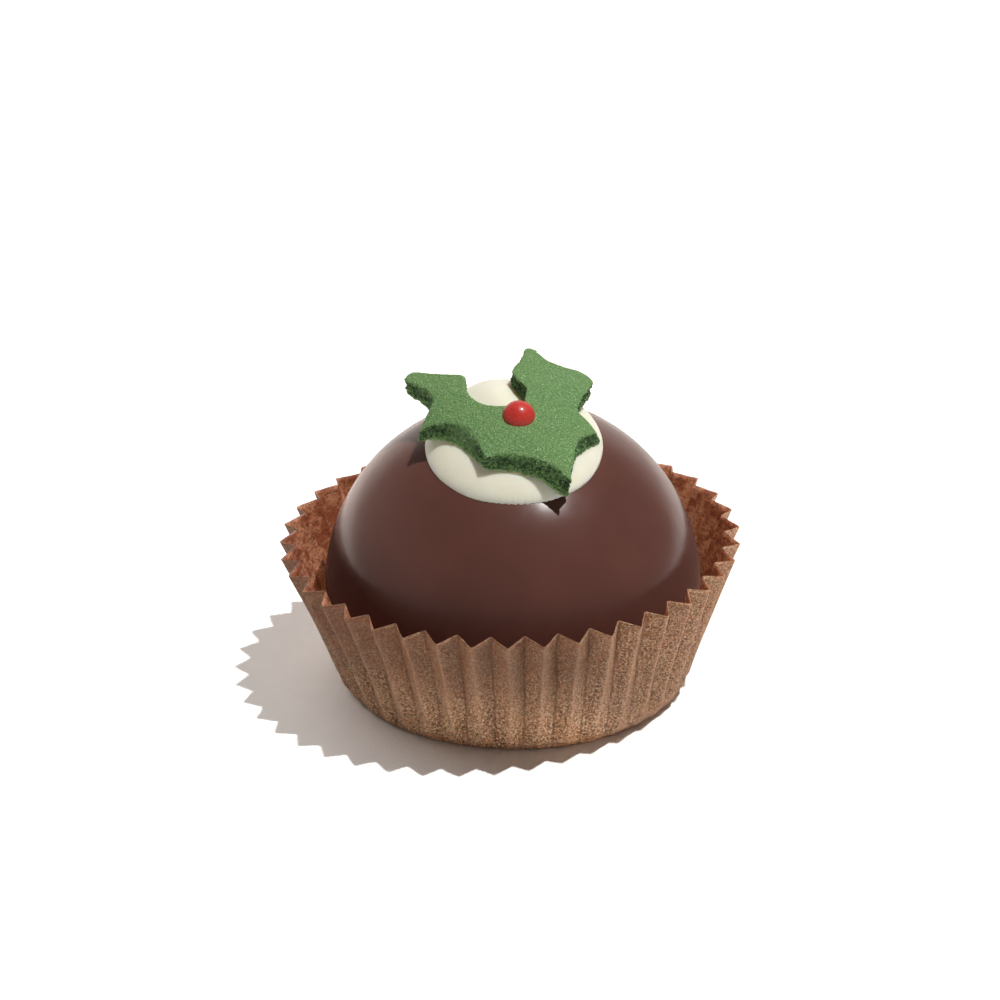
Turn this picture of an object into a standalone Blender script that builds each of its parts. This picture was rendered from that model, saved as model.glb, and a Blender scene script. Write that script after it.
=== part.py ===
"""Pudding truffle: a chocolate ball flattened underneath, topped with white icing, a double
holly leaf of sugar paste and a red sugar berry, standing in its pleated paper case.

Metres, +Z up. The origin is the centre of the case's base, on the surface it stands on.
The front of the truffle, where the icing runs lowest, looks towards -Y.
"""
import math

import bmesh
import bpy
from mathutils import Matrix, Vector

MM = 0.001
GAP = 0.3 * MM                       # air left between two pieces that touch

# Paper case: a flat round blank, pressed so that its border folds up in pleats
PLEATS = 40
PAPER = 0.2 * MM                     # two greased sheets, pressed together
BASE_RADIUS = 15.0 * MM
WALL_SLANT = 13.35 * MM              # width of the blank's border, measured along a fold
OUTER_FLARE = math.radians(19.5)     # lean of the outer folds from upright
FOLD_FULLNESS = 0.9                  # how nearly the pleats take up all the blank's spare paper
WALL_RINGS = 8
RING_CROWDING = 1.4                  # above 1 the rings crowd towards the base, where it bends
RIM_SHIFT = Vector((-0.15, -0.70)) * MM      # the soft rim leans a little to the front
RIM_WAVES = ((2, 0.60 * MM, math.radians(25)), (3, 0.17 * MM, math.radians(35)))
PLEAT_DRIFT = ((2, math.radians(0.57), math.radians(52)), (3, math.radians(0.79), math.radians(71)))
FIRST_FOLD = math.radians(-0.5)

# Chocolate ball
BALL_RADIUS = 16.15 * MM
BALL_CENTRE = Vector((0.07, -0.25, 8.30)) * MM
FLANK_TOP = 8.6 * MM                 # below this height the ball draws in to its flat foot
FOOT_RADIUS = 12.4 * MM
FOOT_EDGE = 0.6 * MM                 # rounding of the foot's edge
FLANK_POWER = 1.5
FOOT_HEIGHT = PAPER + GAP
BALL_STEPS = 56
BALL_ARC_POINTS = 18
FLANK_POINTS = 6
FOOT_EDGE_POINTS = 3

# The icing and the leaf lie on the ball round one axis, tipped to the front
TOPPING_TILT = math.radians(9.0)
ICING_SPREAD = math.radians(28.2)    # from the middle of the icing to its edge
ICING_DEPTH = 1.1 * MM
ICING_LIP_POWER = 4                  # a high power gives a flat top and a full, round lip
ICING_STEPS = 48
ICING_TOP_POINTS = 12
ICING_UNDERSIDE_POINTS = 7

# Holly leaf: the cutter's outline, laid flat, in millimetres. Each corner has the bow of
# the side that follows it, as a share of that side's length; a bow goes into the leaf.
LEAF_OUTLINE = (
    (0.85, 0.1, 0.00),               # notch between the two leaves, behind the berry
    (-0.45, 3.1, 0.05),
    (1.3, 10.2, 0.34),               # far tip of the right leaf
    (6.1, 7.3, -0.05),
    (6.85, 5.6, 0.14),
    (6.2, -1.3, -0.08),
    (7.55, -3.1, 0.16),
    (4.85, -9.4, 0.12),              # front tip, which both leaves share
    (-2.75, -6.5, 0.21),
    (-8.3, -1.8, 0.15),
    (-9.3, 5.9, -0.05),
    (-8.6, 7.3, 0.05),               # far tip of the left leaf
    (-4.1, 4.3, 0.38),
)
LEAF_SIDE_POINTS = 7
LEAF_TIP_ROUNDING = 0.55 * MM
LEAF_TIP_SEGMENTS = 2
LEAF_THICKNESS = 1.45 * MM
LEAF_CELL = 1.5 * MM                 # size of the cells that let the leaf bend
LEAF_CELL_START = 0.37               # keeps the cell lines off the outline's corners
LEAF_SHORTEST_EDGE = 0.08 * MM
LEAF_AXIS = math.radians(115)        # from the front tip up between the two leaves
LEAF_FRONT_TIP = Vector((4.85, -9.4)) * MM
LEAF_LIFT_START = 8.0 * MM           # past this distance from the front tip the leaf lifts
LEAF_LIFT_END = 20.0 * MM
LEAF_LIFT = 1.1 * MM
LEAF_RIPPLE = 0.08 * MM
LEAF_RIPPLE_LENGTH = 9.0 * MM

# Berry
BERRY_RADIUS = 1.42 * MM
BERRY_PLACE = Vector((0.35, -2.35)) * MM     # on the flat leaf
BERRY_SUNK = 0.1 * MM                # its middle lies this far under the leaf's top
BERRY_STEPS = 20
BERRY_ARC_POINTS = 9

ICING_TOP_RADIUS = BALL_RADIUS + GAP + ICING_DEPTH
LEAF_TOP_RADIUS = ICING_TOP_RADIUS + GAP + LEAF_THICKNESS
TOPPING_FRAME = Matrix.Translation(BALL_CENTRE) @ Matrix.Rotation(TOPPING_TILT, 4, "X")


def clear_scene():
    for old in list(bpy.data.objects):
        bpy.data.objects.remove(old, do_unlink=True)


def new_material(name, colour, roughness, metallic=0.0):
    material = bpy.data.materials.new(name)
    material.use_nodes = True
    surface = material.node_tree.nodes["Principled BSDF"]
    surface.inputs["Base Color"].default_value = (*colour, 1.0)
    surface.inputs["Roughness"].default_value = roughness
    surface.inputs["Metallic"].default_value = metallic
    material.diffuse_color = (*colour, 1.0)
    return material


def new_piece(name, shape, material, collection, frame=None):
    """Turns a bmesh into a named object; a frame places it by location and rotation."""
    mesh = bpy.data.meshes.new(name)
    shape.to_mesh(mesh)
    shape.free()
    mesh.materials.append(material)
    piece = bpy.data.objects.new(name, mesh)
    collection.objects.link(piece)
    if frame is not None:
        piece.location = frame.to_translation()
        piece.rotation_euler = frame.to_euler()
    return piece


def profile_shape(points):
    """An open line of (radius, height) points in the XZ plane, for a Screw modifier."""
    shape = bmesh.new()
    line = [shape.verts.new((radius, 0.0, height)) for radius, height in points]
    for start, end in zip(line, line[1:]):
        shape.edges.new((start, end))
    return shape


def turn(piece, steps):
    screw = piece.modifiers.new("Turn", "SCREW")
    screw.steps = steps
    screw.render_steps = steps
    screw.use_merge_vertices = True
    screw.merge_threshold = 0.00001
    screw.use_smooth_shade = True


def arc(radius, start, end, count):
    """Points on a circle about the origin, by their angle from straight up."""
    angles = [start + (end - start) * i / count for i in range(count + 1)]
    return [(radius * math.sin(a), radius * math.cos(a)) for a in angles]


# ---------------------------------------------------------------- paper case

def waves(angle, terms):
    return sum(size * math.cos(count * (angle - peak)) for count, size, peak in terms)


def fold_depth(slant, mean_radius):
    """Depth of the pleats: the share of the blank that is too wide for the wall goes there."""
    face = math.pi * (BASE_RADIUS + slant) / PLEATS
    half_pitch = math.pi * mean_radius / PLEATS
    return FOLD_FULLNESS * math.sqrt(max(face ** 2 - half_pitch ** 2, 0.0))


def wall_point(fold, slant):
    """A point of the pleated wall: even folds stand out, odd folds go in and so stand higher."""
    angle = FIRST_FOLD + math.pi * fold / PLEATS
    angle += waves(angle, PLEAT_DRIFT)
    run = slant * math.sin(OUTER_FLARE)
    if fold % 2:
        run -= fold_depth(slant, BASE_RADIUS + run)
    height = math.sqrt(slant ** 2 - run ** 2)
    slackness = (slant / WALL_SLANT) ** 2
    radius = BASE_RADIUS + run + slackness * waves(angle, RIM_WAVES)
    return Vector((radius * math.cos(angle) + slackness * RIM_SHIFT.x,
                   radius * math.sin(angle) + slackness * RIM_SHIFT.y,
                   height))


def make_paper_case(material, collection):
    """The base disc, then ring after ring of the pleated wall drawn up from its edge."""
    shape = bmesh.new()
    bmesh.ops.create_circle(shape, cap_ends=True, segments=2 * PLEATS, radius=BASE_RADIUS)
    fold = shape.verts.layers.int.new("fold")
    for number, vert in enumerate(shape.verts):
        vert[fold] = number
        vert.co = wall_point(number, 0.0)
    rim = list(shape.edges)
    for step in range(1, WALL_RINGS + 1):
        slant = WALL_SLANT * (step / WALL_RINGS) ** RING_CROWDING
        grown = bmesh.ops.extrude_edge_only(shape, edges=rim)["geom"]
        rim = [item for item in grown if isinstance(item, bmesh.types.BMEdge)]
        for vert in grown:
            if isinstance(vert, bmesh.types.BMVert):
                vert.co = wall_point(vert[fold], slant)
    bmesh.ops.recalc_face_normals(shape, faces=shape.faces)
    base = min(shape.faces, key=lambda face: face.calc_center_median().z)
    if base.normal.z > 0:
        bmesh.ops.reverse_faces(shape, faces=shape.faces)
    case = new_piece("paper_case", shape, material, collection)
    paper = case.modifiers.new("Paper", "SOLIDIFY")
    paper.thickness = PAPER
    paper.offset = -1.0
    return case


# ---------------------------------------------------------------- chocolate ball

def flank_radius(height):
    """Radius of the ball under its waist, where it draws in towards the foot."""
    top = math.sqrt(BALL_RADIUS ** 2 - (BALL_CENTRE.z - FLANK_TOP) ** 2)
    share = (FLANK_TOP - height) / (FLANK_TOP - FOOT_HEIGHT)
    return top - (top - FOOT_RADIUS) * share ** FLANK_POWER


def make_truffle(material, collection):
    flank_angle = math.acos((FLANK_TOP - BALL_CENTRE.z) / BALL_RADIUS)
    points = arc(BALL_RADIUS, 0.0, flank_angle, BALL_ARC_POINTS)
    lowest = FOOT_HEIGHT + FOOT_EDGE
    for step in range(1, FLANK_POINTS + 1):
        height = FLANK_TOP + (lowest - FLANK_TOP) * step / FLANK_POINTS
        points.append((flank_radius(height), height - BALL_CENTRE.z))
    edge_radius = flank_radius(lowest) - FOOT_EDGE
    for across, rise in arc(FOOT_EDGE, math.pi / 2, math.pi, FOOT_EDGE_POINTS)[1:]:
        points.append((edge_radius + across, lowest + rise - BALL_CENTRE.z))
    points.append((0.0, FOOT_HEIGHT - BALL_CENTRE.z))
    truffle = new_piece("truffle", profile_shape(points), material, collection,
                        Matrix.Translation(BALL_CENTRE))
    turn(truffle, BALL_STEPS)
    return truffle


# ---------------------------------------------------------------- icing

def make_icing(material, collection):
    """A poured pool: flat on top, with a full lip, and hollow underneath to fit the ball."""
    seat = BALL_RADIUS + GAP
    points = []
    for step in range(ICING_TOP_POINTS + 1):
        share = math.sin(0.5 * math.pi * step / ICING_TOP_POINTS)
        angle = ICING_SPREAD * share
        radius = seat + ICING_DEPTH * math.sqrt(max(1.0 - share ** ICING_LIP_POWER, 0.0))
        points.append((radius * math.sin(angle), radius * math.cos(angle)))
    points += arc(seat, ICING_SPREAD, 0.0, ICING_UNDERSIDE_POINTS)[1:]
    icing = new_piece("icing", profile_shape(points), material, collection, TOPPING_FRAME)
    turn(icing, ICING_STEPS)
    return icing


# ---------------------------------------------------------------- leaf and berry

def wrap(flat, radius):
    """Lays a point of a flat sheet on a ball, in the topping's own frame."""
    reach = flat.length
    if reach < 1e-9:
        return Vector((0.0, 0.0, radius))
    angle = reach / LEAF_TOP_RADIUS
    out = flat / reach
    return radius * Vector((out.x * math.sin(angle), out.y * math.sin(angle), math.cos(angle)))


def leaf_lift(flat):
    """How far the leaf stands off the icing: nothing in front, more at its two far tips."""
    along = (flat - LEAF_FRONT_TIP).dot(Vector((math.cos(LEAF_AXIS), math.sin(LEAF_AXIS))))
    share = max(along - LEAF_LIFT_START, 0.0) / (LEAF_LIFT_END - LEAF_LIFT_START)
    ripple = LEAF_RIPPLE * (1.0 + math.sin(2 * math.pi * (flat.x - flat.y) / LEAF_RIPPLE_LENGTH))
    return LEAF_LIFT * share ** 2 + ripple


def leaf_outline():
    """The outline as a closed list of flat points: bowed sides between the corners."""
    corners = [(Vector((x, y)) * MM, bow) for x, y, bow in LEAF_OUTLINE]
    points = []
    for (start, bow), (end, _) in zip(corners, corners[1:] + corners[:1]):
        side = end - start
        inward = Vector((side.y, -side.x)) * bow
        for step in range(LEAF_SIDE_POINTS):
            share = step / LEAF_SIDE_POINTS
            points.append(start + side * share + inward * 4.0 * share * (1.0 - share))
    return points


def make_holly_leaf(material, collection):
    """A flat outline with rounded corners, cut in cells, then laid over the icing."""
    shape = bmesh.new()
    verts = [shape.verts.new((point.x, point.y, 0.0)) for point in leaf_outline()]
    shape.faces.new(verts)
    bmesh.ops.bevel(shape, geom=verts[::LEAF_SIDE_POINTS], offset=LEAF_TIP_ROUNDING,
                    segments=LEAF_TIP_SEGMENTS, profile=0.5, affect="VERTICES",
                    clamp_overlap=True)
    for axis in (Vector((1, 0, 0)), Vector((0, 1, 0))):
        reach = max(abs(vert.co.dot(axis)) for vert in shape.verts)
        cells = int(reach / LEAF_CELL)
        for cell in range(-cells, cells + 1):
            bmesh.ops.bisect_plane(shape, geom=shape.verts[:] + shape.edges[:] + shape.faces[:],
                                   plane_co=axis * LEAF_CELL * (cell + LEAF_CELL_START),
                                   plane_no=axis)
    bmesh.ops.remove_doubles(shape, verts=shape.verts, dist=LEAF_SHORTEST_EDGE)
    bmesh.ops.recalc_face_normals(shape, faces=shape.faces)
    for vert in shape.verts:
        flat = vert.co.xy
        vert.co = wrap(flat, LEAF_TOP_RADIUS + leaf_lift(flat))
    bmesh.ops.triangulate(shape, faces=shape.faces)
    if sum(face.normal.z for face in shape.faces) < 0:
        bmesh.ops.reverse_faces(shape, faces=shape.faces)
    leaf = new_piece("holly_leaf", shape, material, collection, TOPPING_FRAME)
    paste = leaf.modifiers.new("Paste", "SOLIDIFY")
    paste.thickness = LEAF_THICKNESS
    paste.offset = -1.0
    return leaf


def make_berry(material, collection):
    """The part of a sugar ball that stands out of the leaf."""
    foot = BERRY_SUNK + GAP + LEAF_RIPPLE
    foot_angle = math.acos(foot / BERRY_RADIUS)
    points = arc(BERRY_RADIUS, 0.0, foot_angle, BERRY_ARC_POINTS)
    points.append((0.0, foot))
    place = wrap(BERRY_PLACE, LEAF_TOP_RADIUS + leaf_lift(BERRY_PLACE) - BERRY_SUNK)
    outward = place.to_track_quat("Z", "Y").to_matrix().to_4x4()
    frame = TOPPING_FRAME @ Matrix.Translation(place) @ outward
    berry = new_piece("berry", profile_shape(points), material, collection, frame)
    turn(berry, BERRY_STEPS)
    return berry


def main():
    clear_scene()
    collection = bpy.data.collections.new("pudding_truffle")
    bpy.context.scene.collection.children.link(collection)
    make_paper_case(new_material("kraft_paper", (0.20, 0.10, 0.055), 0.7), collection)
    make_truffle(new_material("chocolate", (0.075, 0.028, 0.02), 0.32), collection)
    make_icing(new_material("white_icing", (0.80, 0.77, 0.66), 0.4), collection)
    make_holly_leaf(new_material("green_sugar_paste", (0.12, 0.28, 0.09), 0.85), collection)
    make_berry(new_material("red_sugar", (0.50, 0.02, 0.02), 0.25), collection)


main()
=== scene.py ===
# %% [markdown]
# # A pudding truffle in its pleated paper case
#
# The sweet is a moulded chocolate ball. White icing is poured over its top, a double holly
# leaf of green sugar paste lies on the icing, and a red sugar ball is pressed into the leaf.
# The whole stands in a small case of greased brown paper.
#
# The solids of these five pieces already exist, at their real size. This lesson loads them as
# a fixed frame, and then models and finishes a detailed piece over each of them. Everything
# is in metres, +Z is up, and the front of the truffle looks towards -Y.

# %% Load the frame
import math
import random

import bmesh
import bpy
from mathutils import Matrix, Vector, noise


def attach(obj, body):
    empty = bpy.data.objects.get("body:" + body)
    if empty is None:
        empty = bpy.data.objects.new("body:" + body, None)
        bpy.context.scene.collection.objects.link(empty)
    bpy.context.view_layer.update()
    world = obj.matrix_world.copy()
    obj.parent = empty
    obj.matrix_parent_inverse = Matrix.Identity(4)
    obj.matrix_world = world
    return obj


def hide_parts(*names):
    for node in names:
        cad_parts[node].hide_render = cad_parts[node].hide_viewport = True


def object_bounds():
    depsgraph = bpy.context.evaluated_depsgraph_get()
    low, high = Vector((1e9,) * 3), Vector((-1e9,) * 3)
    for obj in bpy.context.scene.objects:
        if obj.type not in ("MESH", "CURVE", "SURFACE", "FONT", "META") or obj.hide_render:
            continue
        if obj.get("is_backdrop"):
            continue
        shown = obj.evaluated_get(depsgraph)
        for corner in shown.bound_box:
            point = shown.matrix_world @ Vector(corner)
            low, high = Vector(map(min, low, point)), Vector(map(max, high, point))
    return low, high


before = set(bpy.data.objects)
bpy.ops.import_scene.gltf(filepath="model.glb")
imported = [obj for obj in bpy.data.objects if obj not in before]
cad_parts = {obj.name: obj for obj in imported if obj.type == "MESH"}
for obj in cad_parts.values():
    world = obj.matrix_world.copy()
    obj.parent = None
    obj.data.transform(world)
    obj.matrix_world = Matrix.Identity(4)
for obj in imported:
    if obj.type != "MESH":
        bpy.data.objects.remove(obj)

MM = 0.001
CAD_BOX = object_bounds()
print("pieces in the frame:", sorted(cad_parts))

# %% [markdown]
# ## Camera
#
# A long lens from more than half a metre away keeps the round forms free of distortion. The
# camera could be turned to its subject with a Track To constraint. Here its rotation is worked
# out once instead. It looks down by a little less than thirty degrees, straight at the front.

# %% Camera
VIEW_ELEVATION = math.radians(27.65)
VIEW_DISTANCE = 583.9 * MM
VIEW_LENS = 245.8
VIEW_AIM = Vector((-1.05, 0.0, 16.26)) * MM
SENSOR_WIDTH = 36.0
VIEW_NEAR, VIEW_FAR = 0.01, 20.0


def add_object(name, data):
    """Puts a camera, a lamp or a mesh in the scene as an object."""
    item = bpy.data.objects.new(name, data)
    bpy.context.scene.collection.objects.link(item)
    return item


def make_camera():
    back = Vector((0.0, -math.cos(VIEW_ELEVATION), math.sin(VIEW_ELEVATION)))
    camera = add_object("camera", bpy.data.cameras.new("camera"))
    camera.data.lens = VIEW_LENS
    camera.data.sensor_width = SENSOR_WIDTH
    camera.data.clip_start, camera.data.clip_end = VIEW_NEAR, VIEW_FAR
    camera.location = VIEW_AIM + back * VIEW_DISTANCE
    camera.rotation_euler = (math.pi / 2 - VIEW_ELEVATION, 0.0, 0.0)
    bpy.context.scene.camera = camera
    print("camera at", [round(value, 4) for value in camera.location])


make_camera()

# %% [markdown]
# ## Light and floor
#
# The sweet stands in a white studio. One small, hard lamp high on the right draws the crisp
# shadows of the pleats. A sun lamp suits it, since its rays are parallel and its angle sets how
# sharp the shadows are. A white backdrop shows as a pale rim on the chocolate. It is made as a
# world whose brightness depends on the direction. A wide and soft lamp is linked to the floor
# alone, and keeps the shadow there light without flattening the shadows on the sweet. Two more
# soft lamps, linked to the paper case, come in later: one lights its right side, and one shines
# through its back.

# %% Lights
KEY_DIRECTION = Vector((4.08, -0.64, 12.5))
KEY_STRENGTH = 3.4
KEY_ANGLE = math.radians(1.3)
KEY_COLOUR = (1.0, 0.985, 0.96)


def make_key():
    key = add_object("key", bpy.data.lights.new("key", "SUN"))
    key.data.energy = KEY_STRENGTH
    key.data.angle = KEY_ANGLE
    key.data.color = KEY_COLOUR
    key.location = KEY_DIRECTION.normalized()
    key.rotation_euler = KEY_DIRECTION.to_track_quat("Z", "Y").to_euler()
    tilt = math.degrees(KEY_DIRECTION.angle(Vector((0, 0, 1))))
    print("key lamp", round(tilt, 1), "degrees from straight up")


make_key()

# %% [markdown]
# ## Small helpers for nodes
#
# Every finish below is a small graph of nodes. Adding, setting and linking nodes takes the same
# few lines each time, so short functions do it, and the steps of a finish stay readable.

# %% Node helpers
def feed(tree, socket, value):
    """Feeds an input: a socket is linked to it, and a value is stored in it."""
    if isinstance(value, bpy.types.NodeSocket):
        tree.links.new(value, socket)
    else:
        socket.default_value = value


def set_inputs(tree, node, **inputs):
    for name, value in inputs.items():
        feed(tree, node.inputs[name.replace("_", " ")], value)


def add_node(tree, kind, **inputs):
    node = tree.nodes.new(kind)
    set_inputs(tree, node, **inputs)
    return node


def mix_colours(tree, share, first, second):
    """A colour between two, by a share that may be a number or a socket."""
    node = tree.nodes.new("ShaderNodeMix")
    node.data_type = "RGBA"
    for number, value in ((0, share), (6, first), (7, second)):
        feed(tree, node.inputs[number], value)
    return node.outputs[2]


def calculate(tree, operation, first, second=0.0, third=0.0):
    node = tree.nodes.new("ShaderNodeMath")
    node.operation = operation
    for socket, value in zip(node.inputs, (first, second, third)):
        feed(tree, socket, value)
    return node.outputs[0]


def stain(tree, base, mask, strength, colour):
    """Lays a colour over a base where a mask is white, at this strength."""
    return mix_colours(tree, calculate(tree, "MULTIPLY", mask, strength), base, colour)


def smooth_ramp(tree, value, low, high, first=0.0, last=1.0):
    """Eases from the first value to the last while the input goes from low to high."""
    node = add_node(tree, "ShaderNodeMapRange", Value=value, From_Min=low, From_Max=high,
                    To_Min=first, To_Max=last)
    node.interpolation_type = "SMOOTHSTEP"
    return node.outputs[0]


def attribute(tree, name):
    """What the mesh stores at each point under this name."""
    node = tree.nodes.new("ShaderNodeAttribute")
    node.attribute_name = name
    return node.outputs["Fac"]


def rgb(red, green, blue):
    """A colour as picked from a screen, from 0 to 255, turned into linear light."""
    shares = [value / 255 for value in (red, green, blue)]
    linear = [v / 12.92 if v <= 0.04045 else ((v + 0.055) / 1.055) ** 2.4 for v in shares]
    return (*linear, 1.0)


# %% White surroundings
WORLD_TINT = (1.0, 0.93, 0.87, 1.0)
ROOM_UNLIT = 0.12
# for each pale side: the way to it, where its light starts and is full, and how bright it is
PALE_SIDES = (((0.0, 1.0, -0.10), 0.66, 0.95, 0.68), ((-0.94, 0.09, -0.33), 0.30, 0.85, 0.18))
CAMERA_BACKDROP = 0.95               # what the camera itself sees above the floor


def make_world():
    world = bpy.data.worlds.new("white_studio")
    world.use_nodes = True
    tree = world.node_tree
    direction = tree.nodes.new("ShaderNodeTexCoord").outputs["Generated"]
    glow = ROOM_UNLIT
    for side, starts, full, bright in PALE_SIDES:
        along = tree.nodes.new("ShaderNodeVectorMath")
        along.operation = "DOT_PRODUCT"
        along.inputs[1].default_value = side
        tree.links.new(direction, along.inputs[0])
        fade = smooth_ramp(tree, along.outputs["Value"], starts, full, 0.0, bright)
        glow = calculate(tree, "ADD", fade, glow)
    rays = tree.nodes.new("ShaderNodeLightPath").outputs["Is Camera Ray"]
    plain = calculate(tree, "MULTIPLY", rays, CAMERA_BACKDROP)
    lit = calculate(tree, "MULTIPLY", calculate(tree, "SUBTRACT", 1.0, rays), glow)
    set_inputs(tree, tree.nodes["Background"], Color=WORLD_TINT,
               Strength=calculate(tree, "ADD", plain, lit))
    bpy.context.scene.world = world
    bpy.context.scene.view_settings.view_transform = "Standard"
    print("world nodes:", len(tree.nodes))


make_world()

# %% [markdown]
# ## A node group for grain
#
# Paper fibres, sugar grains, cocoa-butter haze and the tooth of the card are all the same
# idea at different sizes: a random pattern, cut between two levels so that it gives a mask
# from 0 to 1. A painted image could hold it, but noise on Object coordinates has no seams and
# stays sharp close up. It is built once, as a node group, and each material sets its inputs:
# the place on the surface, the size of one grain in millimetres and the two levels.

# %% Grain group
def new_group(name, inputs, outputs):
    """An empty node group with its named sockets; returns the tree and its two end nodes."""
    tree = bpy.data.node_groups.new(name, "ShaderNodeTree")
    for label, kind, value in inputs:
        socket = tree.interface.new_socket(label, in_out="INPUT", socket_type=kind)
        if value is not None:
            socket.default_value = value
    for label, kind in outputs:
        tree.interface.new_socket(label, in_out="OUTPUT", socket_type=kind)
    return tree, tree.nodes.new("NodeGroupInput"), tree.nodes.new("NodeGroupOutput")


def make_grain_group():
    tree, start, end = new_group(
        "grain",
        (("Place", "NodeSocketVector", None), ("Size", "NodeSocketFloat", 1.0),
         ("Low", "NodeSocketFloat", 0.4), ("High", "NodeSocketFloat", 0.6)),
        (("Mask", "NodeSocketFloat"),))
    scale = calculate(tree, "DIVIDE", 1.0 / MM, start.outputs["Size"])
    pattern = add_node(tree, "ShaderNodeTexNoise", Vector=start.outputs["Place"], Scale=scale,
                       Detail=2.0, Roughness=0.5)
    cut = smooth_ramp(tree, pattern.outputs[0], start.outputs["Low"], start.outputs["High"])
    tree.links.new(cut, end.inputs["Mask"])
    return tree


GRAIN = make_grain_group()


def grain(tree, place, size, low, high):
    """Places the grain group in a material and returns its mask."""
    node = tree.nodes.new("ShaderNodeGroup")
    node.node_tree = GRAIN
    set_inputs(tree, node, Place=place, Size=size, Low=low, High=high)
    return node.outputs["Mask"]


def new_material(name):
    """A material with its tree, its Principled surface and the place on the object."""
    material = bpy.data.materials.new(name)
    material.use_nodes = True
    tree = material.node_tree
    surface = tree.nodes["Principled BSDF"]
    place = tree.nodes.new("ShaderNodeTexCoord").outputs["Object"]
    return material, tree, surface, place


def add_relief(tree, surface, height, depth):
    """Fine relief in the shading: a Bump node whose full height is this depth."""
    bump = add_node(tree, "ShaderNodeBump", Height=height, Distance=depth, Strength=1.0)
    tree.links.new(bump.outputs[0], surface.inputs["Normal"])


# %% [markdown]
# The floor is a sheet of white card with a faint tooth. Only its mirror image in the chocolate
# is made a little greyer: a Light Path node tells which rays have been mirrored.

# %% Floor
FLOOR_SIDE = 0.32


def make_floor_material():
    material, tree, surface, place = new_material("pale_card")
    patches = grain(tree, place, 3.0, 0.3, 0.7)
    tooth = grain(tree, place, 0.30, 0.2, 0.8)
    colour = mix_colours(tree, patches, (0.94, 0.94, 0.94, 1.0), (0.97, 0.97, 0.97, 1.0))
    mirrored = tree.nodes.new("ShaderNodeLightPath").outputs["Is Glossy Ray"]
    colour = mix_colours(tree, mirrored, colour, (0.72, 0.71, 0.70, 1.0))
    set_inputs(tree, surface, Base_Color=colour, Roughness=0.95, Specular_IOR_Level=0.1)
    add_relief(tree, surface, tooth, 0.018 * MM)
    return material


def mesh_object(name, shape, materials=()):
    """Turns a bmesh into an object of the scene."""
    mesh = bpy.data.meshes.new(name)
    shape.to_mesh(mesh)
    shape.free()
    for material in materials:
        mesh.materials.append(material)
    return add_object(name, mesh)


def make_floor():
    shape = bmesh.new()
    bmesh.ops.create_grid(shape, x_segments=6, y_segments=6, size=FLOOR_SIDE / 2)
    floor = mesh_object("floor", shape, (make_floor_material(),))
    floor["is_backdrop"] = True
    return floor


floor = make_floor()

# %% Soft light on the floor
FILL_DIRECTION = Vector((-0.55, 0.45, 1.0))
LAMP_DISTANCE = 0.6
FILL_SIDE = 0.5
FILL_POWER = 1.9
FILL_COLOUR = (1.0, 0.94, 0.885)


def add_soft_lamp(name, direction, side, power, colour, target):
    """A wide lamp that shines on one object only, through a collection of receivers."""
    lamp = add_object(name, bpy.data.lights.new(name, "AREA"))
    lamp.data.size = side
    lamp.data.energy = power
    lamp.data.color = colour
    lamp.location = direction.normalized() * LAMP_DISTANCE
    lamp.rotation_euler = direction.to_track_quat("Z", "Y").to_euler()
    receivers = bpy.data.collections.new(name + "_receivers")
    receivers.objects.link(target)
    lamp.light_linking.receiver_collection = receivers


add_soft_lamp("floor_fill", FILL_DIRECTION, FILL_SIDE, FILL_POWER, FILL_COLOUR, floor)

# %% [markdown]
# ## From a bmesh to a piece
#
# Each piece is shaped as a bmesh and then becomes an object. The object stays at the origin
# without any turn or scale, and its place is in its mesh. The piece rides on the one body of
# the frame, stands for its plain solid, which is then hidden, and gets the finish made for it.

# %% Piece helper
def new_piece(name, shape, node, materials):
    piece = mesh_object(name, shape, materials)
    piece.data.shade_smooth()
    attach(piece, "root")
    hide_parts(node)
    return piece


def report(piece):
    """Prints what a finished piece measures, modifiers included."""
    graph = bpy.context.evaluated_depsgraph_get()
    mesh = piece.evaluated_get(graph).to_mesh()
    mesh.calc_loop_triangles()
    low, high = ([round(pick(vert.co[axis] for vert in mesh.vertices) / MM, 2) for axis in range(3)]
                 for pick in (min, max))
    print(piece.name, len(mesh.loop_triangles), "triangles, from", low, "to", high, "mm")


# %% [markdown]
# ## Paper case: the finish
#
# Kraft paper is unbleached, so it is a dull brown speckled with darker and lighter fibres.
# The press leaves a pale line on every outer crease, partly rubbed and partly a painted
# highlight on the ridge, and a dark line of painted shade in every inner one. Painted light and
# shade also scale the outside's colour: it is lighter at the foot and darker towards the rim and
# on the left. The inside is greased all over: it is deeper and more orange, blotched, and a
# little shiny. Strong light also
# glows through the sheet, by a Translucent shader mixed into the Principled one. The crease
# lines follow the folds, so they come from attributes of the mesh, not from a pattern in space.

# %% Paper finish
GLOW_OUTSIDE = 0.32
GLOW_INSIDE = 0.34


def finish_paper(material, tree, surface, share, glow_colour):
    """Mixes the light that shines through the paper into its surface."""
    glow = add_node(tree, "ShaderNodeBsdfTranslucent", Color=glow_colour)
    both = tree.nodes.new("ShaderNodeMixShader")
    both.inputs[0].default_value = share
    tree.links.new(surface.outputs[0], both.inputs[1])
    tree.links.new(glow.outputs[0], both.inputs[2])
    tree.links.new(both.outputs[0], tree.nodes["Material Output"].inputs["Surface"])


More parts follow.
